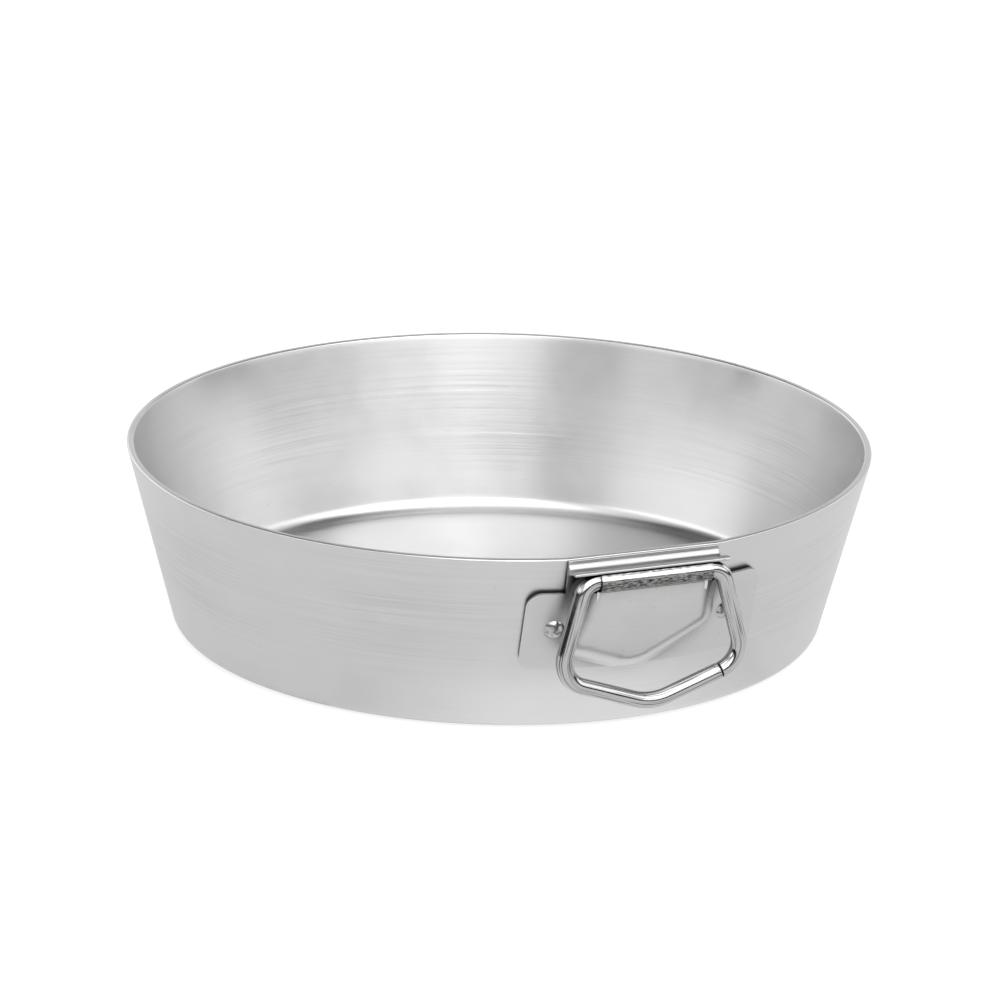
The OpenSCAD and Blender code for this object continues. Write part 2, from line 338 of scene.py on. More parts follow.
@dataclass(frozen=True)
class ScuffedStrip(Metal):
    """Bright strip rolled tight round the wire, scuffed, and darkened by painted shade in bands.

    The eye sees a bright line along the upper front of the roll, a mottled dark band
    under it, a dark line over it, and a clean satin tail. The dark band and the dark line
    are painted shade, set by height round the highlight; their mottling follows the scuffs.
    """

    scuff_w: float = 0.5
    scuff_l: float = 2.2
    depth: float = 0.01
    shade_band_low: float = 0.0671
    highlight_band_low: float = 0.0726
    highlight_band_high: float = 0.0736

    def marks(self, tree: Tree, place: Socket) -> tuple[Socket | None, Socket | None]:
        """Scuffs are patches of noise drawn out along the wire, X.

        Args:
            tree: The node tree.
            place: Object coordinates.

        Returns:
            Height in millimetres, and darkening from 0 to 1.
        """
        squeeze = (self.scuff_w / self.scuff_l, 1.0, 1.0)
        drawn = add(tree, "Mapping", {"Vector": place, "Scale": squeeze})
        scuff = add(tree, "TexNoise", grain(drawn, self.scuff_w, 3.0, 0.65))
        up = add(tree, "SeparateXYZ", {0: place}, out=2)
        # Painted shade: the roll is darkened below a clean band that keeps its highlight, and above
        # it under the hood; the scuffs break the darkening up in patches
        low, near, far = self.shade_band_low, self.highlight_band_low, self.highlight_band_high
        foot = add(tree, "MapRange", span(up, low, low + 0.0006, 0.0, 1.0), **SMOOTH)
        shine = add(tree, "MapRange", span(up, near - 0.0012, near, 1.0, 0.0), **SMOOTH)
        # Painted shade on top of the roll, under the hood
        top = add(tree, "MapRange", span(up, far, far + 0.0006, 0.0, 0.9), **SMOOTH)
        bare = add(tree, "MapRange", span(scuff, 0.38, 0.62, 0.95, 0.55), **SMOOTH)
        band = add(tree, "Math", {0: foot, 1: shine}, **TIMES)
        band = add(tree, "Math", {0: band, 1: top}, operation="MAXIMUM")
        height = add(tree, "Math", {0: scuff, 1: self.depth}, **TIMES)
        return height, add(tree, "Math", {0: band, 1: bare}, **TIMES)


@dataclass(frozen=True)
class DrawnWire(Metal):
    """Steel wire pulled through a die and bright plated: near a mirror, with faint lines.

    The eye sees bright and dark lines that follow the wire, and a few nicks.
    """

    line_w: float = 0.5
    line_l: float = 30.0
    depth: float = 0.0008
    shadow: float = 0.8

    def marks(self, tree: Tree, place: Socket) -> tuple[Socket | None, Socket | None]:
        """Die lines follow the wire, so they are read on its own UV map.

        The map holds (distance along the wire, distance round it) in metres.

        Args:
            tree: The node tree.
            place: Object coordinates.

        Returns:
            Height in millimetres, and darkening from 0 to 1.
        """
        run = add(tree, "UVMap", uv_map="run")
        squeeze = (self.line_w / self.line_l, 1.0, 1.0)
        drawn = add(tree, "Mapping", {"Vector": run, "Scale": squeeze})
        line = add(tree, "TexNoise", grain(drawn, self.line_w, 2.0))
        dark = add(tree, "MapRange", span(line, 0.50, 0.66, 0.0, self.shadow), **SMOOTH)
        spots = add(tree, "TexNoise", grain(place, 0.9, 1.0))
        nick = add(tree, "MapRange", span(spots, 0.76, 0.82, 0.0, 0.5), **SMOOTH)
        height = add(tree, "Math", {0: line, 1: self.depth}, **TIMES)
        return height, add(tree, "Math", {0: dark, 1: nick}, operation="MAXIMUM")


@dataclass(frozen=True)
class HeadedRivet(Metal):
    """Aluminium rivet set with a cupped tool: satin, with a few hammer dents.

    The eye sees a dull dome with one small shine and a dark ring at its foot; the ring is painted
    shade.
    """

    dent: float = 1.6
    depth: float = 0.09

    def marks(self, tree: Tree, place: Socket) -> tuple[Socket | None, Socket | None]:
        """Dents are shallow soft noise a little smaller than the head.

        Args:
            tree: The node tree.
            place: Object coordinates.

        Returns:
            Height in millimetres, and darkening from 0 to 1.
        """
        dent = add(tree, "TexNoise", grain(place, self.dent, 1.0))
        dark = add(tree, "MapRange", span(dent, 0.45, 0.7, 0.0, 0.45), **SMOOTH)
        return add(tree, "Math", {0: dent, 1: self.depth}, **TIMES), dark


# The spun pan's painted shade darkens the wall along the bracket's edges and round the rivets
SPUN = SpunAluminium(
    "spun_satin_aluminium", "#CDCDCD", 0.32,
    cloud=0.03, tint=0.02, turned=0.3, painted_corner_shade=0.5, corner_shade_reach=1.8,
)
# The stamped sheet's wide reach paints shade over the pocket's flanks and along the ears' edges
STAMPED = StampedAluminium(
    "stamped_satin_aluminium", "#C6C6C6", 0.34, cloud_grain=18, painted_corner_shade=0.9, corner_shade_reach=8.0
)
STRIP = ScuffedStrip("scuffed_bright_strip", "#D8D8D6", 0.19, cloud_grain=4)
WIRE = DrawnWire("bright_drawn_steel_wire", "#BBBBBB", 0.15, cloud=0.03, cloud_grain=9)
RIVET = HeadedRivet("headed_aluminium_rivet", "#B4B4B4", 0.20, cloud_grain=3)


# ------------------------------------------------------------------- meshes


def smooth_min(first: Array, second: Array, reach: float) -> Array:
    """Lesser of two arrays, with the crease between them rounded.

    h = max(reach - |a - b|, 0), and the result is min(a, b) - h^2 / (4 reach).
    """
    near = np.maximum(reach - np.abs(first - second), 0)
    return np.minimum(first, second) - near**2 / (4 * reach)


def ease(share: Array) -> Array:
    """Quintic step 6t^5 - 15t^4 + 10t^3 of a share clipped to 0 to 1."""
    t = np.clip(share, 0, 1)
    return t**3 * (t * (6 * t - 15) + 10)


def arc(centre: tuple[float, float], radius: float, start: float, stop: float, count: int) -> Array:
    """Points on a circle: centre + radius (cos a, sin a), a from start to stop in degrees."""
    turn = np.radians(np.linspace(start, stop, count))
    return np.stack(
        [centre[0] + radius * np.cos(turn), centre[1] + radius * np.sin(turn)], 1
    )


def grid_faces(rows: int, columns: int, wrap_rows: bool, wrap_columns: bool) -> Array:
    """Corner numbers of the quads of a grid of points.

    Args:
        rows: Number of rows.
        columns: Number of columns.
        wrap_rows: Whether the last row joins the first.
        wrap_columns: Whether the last column joins the first.

    Returns:
        One row of four corner numbers for each quad.
    """
    i = np.arange(rows if wrap_rows else rows - 1)[:, None]
    j = np.arange(columns if wrap_columns else columns - 1)[None, :]
    k, m = (i + 1) % rows, (j + 1) % columns
    corners = [i * columns + j, k * columns + j, k * columns + m, i * columns + m]
    return np.stack(np.broadcast_arrays(*corners), -1).reshape(-1, 4)


def weld(mesh: bpy.types.Mesh, drop_slivers: bool) -> None:
    """Merges points that coincide and turns all faces outward.

    Args:
        mesh: The mesh to mend.
        drop_slivers: Whether faces and edges without size are dissolved too.
    """
    work = bmesh.new()
    work.from_mesh(mesh)
    bmesh.ops.remove_doubles(work, verts=work.verts, dist=1e-7)
    if drop_slivers:
        bmesh.ops.dissolve_degenerate(work, edges=work.edges, dist=1e-8)
    bmesh.ops.recalc_face_normals(work, faces=work.faces)
    work.to_mesh(mesh)
    work.free()


def make_object(
    name: str,
    points: Array,
    faces: list[Array],
    sharp: float = 35.0,
    tidy: bool = True,
) -> bpy.types.Object:
    """Makes a mesh object with outward normals and sharp edges marked by angle.

    Args:
        name: The object's name.
        points: Corners in millimetres, one row each.
        faces: Arrays of corner numbers, each array with one width.
        sharp: Angle between faces in degrees past which an edge shades sharp.
        tidy: Whether to merge doubles and recalculate the normals.

    Returns:
        The object, linked to the scene.
    """
    mesh = bpy.data.meshes.new(name)
    mesh.from_pydata((points * MM).tolist(), [], [f for part in faces for f in part.tolist()])
    if tidy:
        weld(mesh, drop_slivers=True)
    mesh.shade_smooth()
    mesh.set_sharp_from_angle(angle=math.radians(sharp))
    made = bpy.data.objects.new(name, mesh)
    bpy.context.scene.collection.objects.link(made)
    return made


def section_along(section: Array, places: Array) -> tuple[Array, list[Array]]:
    """Carries a closed section (front distance, height) along X and closes both ends.

    Args:
        section: Rows of (distance in front of the centre line, height).
        places: The X places of the copies, in order.

    Returns:
        Points and faces.
    """
    rows, columns = len(places), len(section)
    points = np.empty((rows, columns, 3))
    points[..., 0] = places[:, None]
    points[..., 1] = -section[None, :, 0]
    points[..., 2] = section[None, :, 1]
    caps = [np.arange(columns)[None, :], np.arange(columns)[None, ::-1] + (rows - 1) * columns]
    return points.reshape(-1, 3), [grid_faces(rows, columns, False, True), *caps]


def soften(piece: bpy.types.Object, width: float, segments: int = 2, angle: float = 40.0) -> None:
    """Rounds a piece's sharp edges.

    Args:
        piece: The piece.
        width: Width of the bevel in millimetres.
        segments: Number of steps across it.
        angle: Angle between faces in degrees past which an edge is rounded.
    """
    bevel = piece.modifiers.new("softened_edges", "BEVEL")
    bevel.width = width * MM
    bevel.segments = segments
    bevel.limit_method = "ANGLE"
    bevel.angle_limit = math.radians(angle)
    bevel.harden_normals = True


def finish_piece(
    piece: bpy.types.Object,
    body: Body,
    slot: Slot,
    material: bpy.types.Material,
    *nodes: str,
) -> bpy.types.Object:
    """Gives a piece its material and its body, and hides the CAD nodes that it stands for.

    Args:
        piece: The piece.
        body: The body that it rides on.
        slot: The record's material slot; not used.
        material: Its material.
        *nodes: CAD nodes that it replaces.

    Returns:
        The same piece.
    """
    piece.data.materials.clear()
    piece.data.materials.append(material)
    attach(piece, body.value)
    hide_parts(*nodes)
    LOG.info("%s: %d faces on %s", piece.name, len(piece.data.polygons), body.value)
    return piece


# ------------------------------------------------------------ sub-assemblies


@dataclass
class Pan:
    """The spun pan: tapered round wall, flat floor, and a flat pressed in behind the hinge."""

    rim_r: float = cad_side("pan_body", 1, 0)
    height: float = cad_side("pan_body", 1, 2)
    lean: float = math.radians(14.6)
    wall_t: float = 3.0
    floor_t: float = 3.0
    heel_r: float = 6.0
    bowl_r: float = 7.0
    rim_round: float = 0.7
    flat_w: float = 66.0
    flat_h: float = 26.0
    flat_fade: float = 14.0
    crease: float = 0.35
    around: int = 560
    dense: int = 200
    dense_half: float = 16.0

    def wall_out(self, z: Array | float, g: float = 0.0) -> Array | float:
        """Distance from the axis to the round wall: base + z tan(lean) + g / cos(lean)."""
        base = self.rim_r - self.height * math.tan(self.lean)
        return base + z * math.tan(self.lean) + g / math.cos(self.lean)

    def flat_at(self, z: Array, g: float = 0.0) -> Array:
        """Distance from the axis to the flat and its run-out.

        Args:
            z: Heights.
            g: How far outside the wall's outer face.

        Returns:
            Distances, 5 mm past the round wall where the flat has run out.
        """
        slope, out = math.tan(self.lean), g / math.cos(self.lean)
        chord = math.sqrt(self.rim_r**2 - self.flat_w**2 / 4)
        low = self.height - self.flat_h
        fade_low = low - self.flat_fade
        upper = chord - (self.height - z) * slope
        at_low = chord - (self.height - low) * slope
        at_fade = self.wall_out(fade_low)
        share = (z - fade_low) / (low - fade_low)
        lower = at_fade + share * (at_low - at_fade)
        beyond = self.wall_out(z) + 5.0
        return np.where(z >= low, upper, np.where(z >= fade_low, lower, beyond)) + out

    def out_at(self, x: Array, z: Array, g: float) -> Array:
        """How far the surface g outside the wall stands in front of the centre line.

        y = smooth_min(sqrt(r(z)^2 - x^2), flat(z)), with r the round wall.
        """
        round_out = np.sqrt(np.maximum(self.wall_out(z, g) ** 2 - x**2, 0))
        return smooth_min(round_out, self.flat_at(z, g), self.crease)

    def profile(self) -> tuple[Array, Array]:
        """Profile from the middle of the floor, over the rim, to the middle of the base.

        Returns:
            Rows of (distance from the axis, height), and for each row how far it lies
            outside the wall's outer face, for cutting the flat.
        """
        tilt = math.degrees(self.lean)
        sin, cos = math.sin(self.lean), math.cos(self.lean)
        # Bowl: floor, inside radius, inside wall
        corner = self.wall_out(self.floor_t, -self.wall_t)
        reach = self.bowl_r * math.tan((math.pi / 2 - self.lean) / 2)
        floor = np.stack(
            [np.linspace(0, corner - reach, 26)[:-1], np.full(25, self.floor_t)], 1
        )
        bowl = arc((corner - reach, self.floor_t + self.bowl_r), self.bowl_r, -90, -tilt, 14)
        e, t = self.rim_round, self.height
        inner_top = np.array([self.wall_out(t, -self.wall_t), t])
        outer_top = np.array([self.wall_out(t), t])
        # Rim: both edges rounded with radius e, tangent to wall and top
        inner_c = np.array([inner_top[0] + e * (1 - sin) / cos, t - e])
        outer_c = np.array([outer_top[0] - e * (1 + sin) / cos, t - e])
        inner_rim = arc(tuple(inner_c), e, 180 - tilt, 90, 7)
        outer_rim = arc(tuple(outer_c), e, 90, -tilt, 9)
        inside = np.linspace(bowl[-1], inner_rim[0], 40)[1:-1]
        # Outside wall, heel and base
        reach_out = self.heel_r * math.tan((math.pi / 2 - self.lean) / 2)
        base = self.wall_out(0)
        heel = arc((base - reach_out, self.heel_r), self.heel_r, -tilt, -90, 14)
        outside = np.linspace(outer_rim[-1], heel[0], 40)[1:-1]
        under = np.stack([np.linspace(base - reach_out, 0, 16)[1:], np.zeros(15)], 1)
        rows = np.concatenate([floor, bowl, inside, inner_rim, outer_rim, outside, heel, under])
        offset = rows[:, 0] - self.wall_out(rows[:, 1])
        return rows, offset * cos

    def build(self) -> bpy.types.Object:
        """Turns the profile round the axis and presses the flat into it.

        At angle a from the handle, a point r from the axis moves in to
        smooth_min(r, flat / cos a), where flat is the flat's distance at its height
        and at the point's own depth in the wall.

        Returns:
            The dressed pan.
        """
        rows, depth = self.profile()
        # The points stand closer together round the flat
        half = math.radians(self.dense_half)
        dense = np.linspace(-half, half, self.dense)
        rest = np.linspace(half, 2 * math.pi - half, self.around - self.dense + 2)[1:-1]
        turn = np.concatenate([dense, rest])[:, None]
        r, z = rows[None, :, 0], rows[None, :, 1]
        front = np.maximum(np.cos(turn), 1e-3)
        in_wall = depth > -self.wall_t * 1.6
        flat = np.where(in_wall, self.flat_at(rows[:, 1]) + depth / math.cos(self.lean), 1e3)
        cut = np.where(np.cos(turn) > 0.5, flat[None, :] / front, 1e3)
        out = smooth_min(r + 0 * turn, cut, self.crease)
        points = np.stack([out * np.sin(turn), -out * np.cos(turn), z + 0 * turn], -1)
        count = len(turn)
        faces = grid_faces(count, len(rows), True, False)
        made = make_object("pan_shell", points.reshape(-1, 3), [faces], sharp=60)
        return finish_piece(made, Body.PAN, Slot.PAN, SPUN.material(), "pan_body")


@dataclass
class Bracket:
    """The stamped bracket: apron and ears on the wall, drawn pocket, and hood over the hinge."""

    pan: Pan
    sheet_t: float = 1.2
    seat: float = 0.05
    width: float = EARS_W
    ears_shift: float = EARS_SHIFT
    ears_top: float = 65.0
    ears_low: float = cad_side("hinge_bracket", 0, 2)
    ear_r: float = 6.0
    ear_lift: float = 0.08
    apron_w: float = 66.0
    apron_top: float = cad_side("hinge_bracket", 1, 2)
    hood_left: float = -33.3
    hood_right: float = 35.7
    hood_reach: float = 2.5
    shelf_lean: float = math.radians(20)
    side_shift: float = SIDE_SHIFT
    rise: float = 4.0
    face_r: float = 9.0
    face_in: float = 2.4
    flank: float = math.radians(60.3)
    foot_r: float = 1.1
    pocket_top: float = 66.1
    top_reach: float = 4.5
    point: tuple[float, float, float] = (-5.0, 3.0, 14.0)
    bend_up: float = 7.9
    bend_pull: float = 0.36
    root_up: float = 2.4
    slim_l: float = 6.0
    edge: float = 0.25
    axis: tuple[float, float] = AXIS
    bore_r: float = 3.6

    def outline(self) -> Array:
        """Outline of the pocket's flat face, clockwise from the front.

        The point is an arc of radius r, (m + r sin a, low + lift + r (1 - cos a)).

        Returns:
            Rows of (sideways, height).
        """
        turn = np.radians(np.linspace(28, -20, 17))
        middle, lift, r = self.point
        low = self.ears_low + lift
        point = np.stack([middle + r * np.sin(turn), low + r * (1 - np.cos(turn))], 1)
        top_and_right = np.array([[-22.5, 76.1], [23.5, 76.1], [24.5, 48.5]])
        left = np.array([[-28.0, 41.0]])
        return np.concatenate([top_and_right, point, left]) + np.array([self.side_shift, 0])

    def outside_face(self, x: Array, z: Array) -> Array:
        """Distance outside the face's outline, drawn in by face_in, and 0 within it.

        Each edge moves in along its normal n, and neighbours meet again at the corner c
        with n1.c = h1 and n2.c = h2. A place within the convex outline lies on the same
        side of every edge, and one outside it takes its nearest edge.

        Args:
            x: Places sideways.
            z: Heights.

        Returns:
            Distances, one for each place.
        """
        corner = self.outline()
        way = np.roll(corner, -1, 0) - corner
        normal = np.stack([-way[:, 1], way[:, 0]], 1) / np.linalg.norm(way, axis=1)[:, None]
        reach = (normal * corner).sum(1) - self.face_in
        pairs = np.stack([np.roll(normal, 1, 0), normal], 1)
        start = np.linalg.solve(pairs, np.stack([np.roll(reach, 1), reach], 1)[..., None])[..., 0]
        edge = np.roll(start, -1, 0) - start
        gap = np.stack([x, z], -1)[..., None, :] - start
        share = np.clip((gap * edge).sum(-1) / (edge**2).sum(-1), 0, 1)
        away = np.linalg.norm(gap - share[..., None] * edge, axis=-1).min(-1)
        side = edge[:, 1] * gap[..., 0] - edge[:, 0] * gap[..., 1]
        return np.where(side.min(-1) > 0, 0.0, away)

    def out_at(self, x: Array, z: Array) -> Array:
        """Front face of the sheet, with the pocket drawn out of it.

        At distance d outside the face, the pocket's height over the wall is
        rise - (r - sqrt(r^2 - d^2)) round the bend, and falls straight at the flank's
        slope beyond it. The sheet meets the foot in a rounded corner.

        Args:
            x: Places sideways.
            z: Heights.

        Returns:
            Distances in front of the centre line.
        """
        far = np.abs(x - self.ears_shift) - self.width / 2
        low = self.ears_low - z
        # The ears stand a little off the round wall along their free edges
        lift = self.ear_lift * ease(1 + np.maximum(far, low) / 7)
        sheet = self.pan.out_at(x, z, self.seat + self.sheet_t) + lift
        d, r = self.outside_face(x, z), self.face_r
        bend = r * math.sin(self.flank)
        height = self.rise - r + np.sqrt(r**2 - np.minimum(d, bend) ** 2)
        height = height - math.tan(self.flank) * np.maximum(d - bend, 0)
        return -smooth_min(-sheet, -self.pan.wall_out(z, height), self.foot_r)

    def ears(self) -> tuple[Array, Array]:
        """Sheet of ears and pocket: columns across, rows from lower to upper edge.

        The ends of the columns follow the round corners:
        inset = r - sqrt(r^2 - (|x| - half + r)^2).

        Returns:
            Points and faces.
        """
        half, r = self.width / 2, self.ear_r
        bend = half - r * (1 - np.cos(np.linspace(0, np.pi / 2, 14)))
        x = np.concatenate([bend, np.linspace(half - r, 0, 150)[1:]])
        x = np.unique(np.round(np.concatenate([-x, x]), 6))
        past = np.maximum(np.abs(x) - half + r, 0)
        inset = r - np.sqrt(np.maximum(r**2 - past**2, 0))
        x = x + self.ears_shift
        low = self.ears_low + inset
        # The pocket's open top stands a little over the ears' top edge
        beside = self.outside_face(x, np.full_like(x, self.ears_top))
        lift = (self.pocket_top - self.ears_top) * (beside < self.top_reach)
        high = self.ears_top - inset + lift
        share = np.linspace(0, 1, 130)
        z = low + share[:, None] * (high - low)
        xs = x[None, :] + 0 * z
        points = np.stack([xs, -self.out_at(xs, z), z], -1)
        return points.reshape(-1, 3), grid_faces(len(share), len(x), False, False)

    def back_sheet(self) -> tuple[Array, Array]:
        """Flat sheet behind the hinge, from the ears' top up into the hood.

        Returns:
            Points and faces.
        """
        x = np.linspace(-self.apron_w / 2, self.apron_w / 2, 80)
        z = np.linspace(self.ears_top - 0.8, self.axis[1] + 2.6, 16)
        zs, xs = np.meshgrid(z, x, indexing="ij")
        points = np.stack([xs, -self.pan.out_at(xs, zs, self.seat + self.sheet_t), zs], -1)
        return points.reshape(-1, 3), grid_faces(len(z), len(x), False, False)

    def hood_section(self, apron: bool) -> Array:
        """Closed section of the hood: down the apron, out over the wire, and back under.

        The corner between apron and shelf is a cubic curve, tangent to both.

        Args:
            apron: Whether the section climbs the wall to the apron's top edge.

        Returns:
            Rows of (distance in front of the centre line, height).
        """
        ay, az = self.axis
        lean, lip, e = self.shelf_lean, self.hood_reach, self.edge
        hood_r = self.bore_r + self.sheet_t
        deg = math.degrees(lean)
        over = arc((ay, az), hood_r, 90 + deg, 90, 8)
        under = arc((ay, az), self.bore_r, 90, 90 + deg, 8)
        along = np.array([math.cos(lean), math.sin(lean)])
        climb = np.array([math.sin(self.pan.lean), math.cos(self.pan.lean)])

        def face(z: float, g: float) -> Array:
            """Point of the section at height z, g in front of the flat."""
            return np.array([float(self.pan.flat_at(np.array(z), g)), z])

        front = self.seat + self.sheet_t
        start, end = face(az + self.bend_up, front), over[0]
        t = np.linspace(0, 1, 16)[:, None]
        # Handles of this length make the curve close to an arc of a circle
        reach = self.bend_pull * np.linalg.norm(end - start)
        second, third = start - reach * climb, end - reach * along
        u = 1 - t
        curve = u**3 * start + 3 * u**2 * t * second + 3 * u * t**2 * third + t**3 * end
        tip = np.array(
            [[ay + lip - e, az + hood_r], [ay + lip, az + hood_r - e],
             [ay + lip, az + self.bore_r + e], [ay + lip - e, az + self.bore_r]]
        )
        back = face(az + self.root_up, self.seat)[0]
        root = under[-1] - (under[-1, 0] - back) / along[0] * along
        if apron:
            high = self.apron_top
            top = [face(high, self.seat), face(high, front - e), face(high - e, front)]
            return np.concatenate([top, curve, over[1:], tip, under, [root]])
        slim = end - self.slim_l * along
        slim_under = slim - self.sheet_t * np.array([-along[1], along[0]])
        return np.concatenate([[slim], over, tip, under, [slim_under]])

    def build(self) -> bpy.types.Object:
        """Builds the sheet with its thickness, and the hood with its wing.

        Returns:
            The dressed bracket.
        """
        sheet_points, sheet_faces = self.ears()
        back_points, back_faces = self.back_sheet()
        made = make_object(
            "bracket_sheet",
            np.concatenate([sheet_points, back_points]),
            [sheet_faces, back_faces + len(sheet_points)],
            tidy=False,
        )
        thick = made.modifiers.new("sheet_thickness", "SOLIDIFY")
        thick.thickness = self.sheet_t * MM
        thick.offset = -1.0
        soften(made, 0.22)
        half = self.apron_w / 2
        main, main_faces = section_along(
            self.hood_section(True), np.linspace(self.hood_left + 0.3, half, 60)
        )
        wing, wing_faces = section_along(
            self.hood_section(False), np.linspace(half - 0.5, self.hood_right, 4)
        )
        shifted = [part + len(main) for part in wing_faces]
        hood = make_object("bracket_hood", np.concatenate([main, wing]), [*main_faces, *shifted])
        soften(hood, 0.15)
        metal = STAMPED.material()
        finish_piece(hood, Body.PAN, Slot.BRACKET, metal)
        return finish_piece(made, Body.PAN, Slot.BRACKET, metal, "hinge_bracket")


@dataclass
class Sleeve:
    """The strip rolled round the wire, with a flat tail on the pocket's face."""

    pan: Pan
    axis: tuple[float, float] = AXIS
    width: float = SLEEVE_W
    bore_r: float = 3.6
    strip_t: float = 1.0
    start: float = 48.0
    inner_end: float = -118.0
    root_drop: float = 3.3
    tail: float = 9.2
    rise: float = 4.05
    side_shift: float = SIDE_SHIFT

    def section(self) -> Array:
        """Closed section: outside of the roll, tail down the pocket, back inside the roll.

        Returns:
            Rows of (distance in front of the centre line, height).
        """
        ay, az = self.axis
        lean = self.pan.lean
        outer = self.bore_r + self.strip_t
        face = float(self.pan.wall_out(az, self.rise))
        down = -np.array([math.sin(lean), math.cos(lean)])
        out = np.array([math.cos(lean), -math.sin(lean)])
        root = np.array([face, az])
        back_low = root + self.tail * down
        front_low = back_low + self.strip_t * out
        # The tail's front runs up until it meets the roll: |root + t out - s down| = outer
        base = root + self.strip_t * out - np.array([ay, az])
        b = float(base @ down)
        s = -b + math.sqrt(b * b - float(base @ base) + outer**2)
        join = base + s * down
        stop = math.degrees(math.atan2(join[1], join[0]))
        roll = arc((ay, az), outer, self.start, stop, 40)
        inner = arc((ay, az), self.bore_r, self.inner_end, self.start, 36)
        behind = root + self.root_drop * down
        return np.concatenate([roll, [front_low, back_low, behind], inner])

    def build(self) -> bpy.types.Object:
        """Carries the section along the wire.

        Returns:
            The dressed sleeve.
        """
        places = self.side_shift + np.linspace(-self.width / 2, self.width / 2, 80)
        points, faces = section_along(self.section(), places)
        made = make_object("rolled_sleeve", points, faces, sharp=30)
        soften(made, 0.12)
        return finish_piece(made, Body.PAN, Slot.SLEEVE, STRIP.material(), "hinge_sleeve")


@dataclass
class Rivet:
    """A domed rivet through ear and wall, with a formed tail inside the pan."""

    name: str
    node: str
    side: float
    pan: Pan
    place_x: float = 37.7
    side_shift: float = SIDE_SHIFT
    height: float = 48.5
    sheet_t: float = 1.2
    seat: float = 0.05
    shank_d: float = 5.0
    head_d: float = 9.4
    head_h: float = 3.0
    skirt: float = 0.7
    tail_d: float = 8.0
    tail_t: float = 1.4
    tail_share: float = 0.4
    edge: float = 0.25
    sides: int = 56

    def profile(self) -> Array:
        """Profile from the top of the head to the end of the tail.

        Returns:
            Rows of (radius, height over the wall).
        """
        seat = self.sheet_t + 2 * self.seat
        inside = self.pan.wall_t + self.seat
        # The dome is a cap of height h over a short skirt: r = (a^2 + h^2) / 2h
        cap = self.head_h - self.skirt
        r = (self.head_d**2 / 4 + cap**2) / (2 * cap)
        edge = math.degrees(math.asin(self.head_d / 2 / r))
        dome = arc((0, seat + self.head_h - r), r, 90, 90 - edge, 22)
        head, shank, tail = self.head_d / 2, self.shank_d / 2, self.tail_d / 2
        tip, end, e = self.tail_d * self.tail_share, -inside - self.tail_t, self.edge
        low = np.array(
            [[head, seat + e], [head - e, seat], [shank, seat], [shank, -inside],
             [tail - e, -inside], [tail, -inside - e], [tip, end + e], [tip - e, end], [0, end]]
        )
        return np.concatenate([dome, low])

    def build(self, metal: bpy.types.Material) -> bpy.types.Object:
        """Turns the profile and sets it square to the wall.

        Args:
            metal: The rivets' material.

        Returns:
            The dressed rivet.
        """
        rows = self.profile()
        turn = np.linspace(0, 2 * math.pi, self.sides, endpoint=False)[:, None]
        r, z = rows[None, :, 0], rows[None, :, 1]
        local = np.stack([r * np.cos(turn), r * np.sin(turn), z + 0 * turn], -1)
        out = float(self.pan.wall_out(self.height))
        angle = math.asin((self.side_shift + self.side * self.place_x) / out)
        lean = self.pan.lean
        # Local +Z becomes the wall's outward normal, local +Y climbs the wall
        normal = np.array([0, -math.cos(lean), -math.sin(lean)])
        climb = np.array([0, -math.sin(lean), math.cos(lean)])
        across = np.cross(climb, normal)
        placed = local[..., :1] * across + local[..., 1:2] * climb + local[..., 2:] * normal
        placed = placed + np.array([0, -out, self.height])
        sin, cos = math.sin(angle), math.cos(angle)
        spin = np.array([[cos, sin, 0], [-sin, cos, 0], [0, 0, 1]])
        points = placed.reshape(-1, 3) @ spin
        faces = grid_faces(len(turn), len(rows), True, False)
        made = make_object(self.name, points, [faces], sharp=50)
        return finish_piece(made, Body.PAN, Slot.RIVET, metal, self.node)


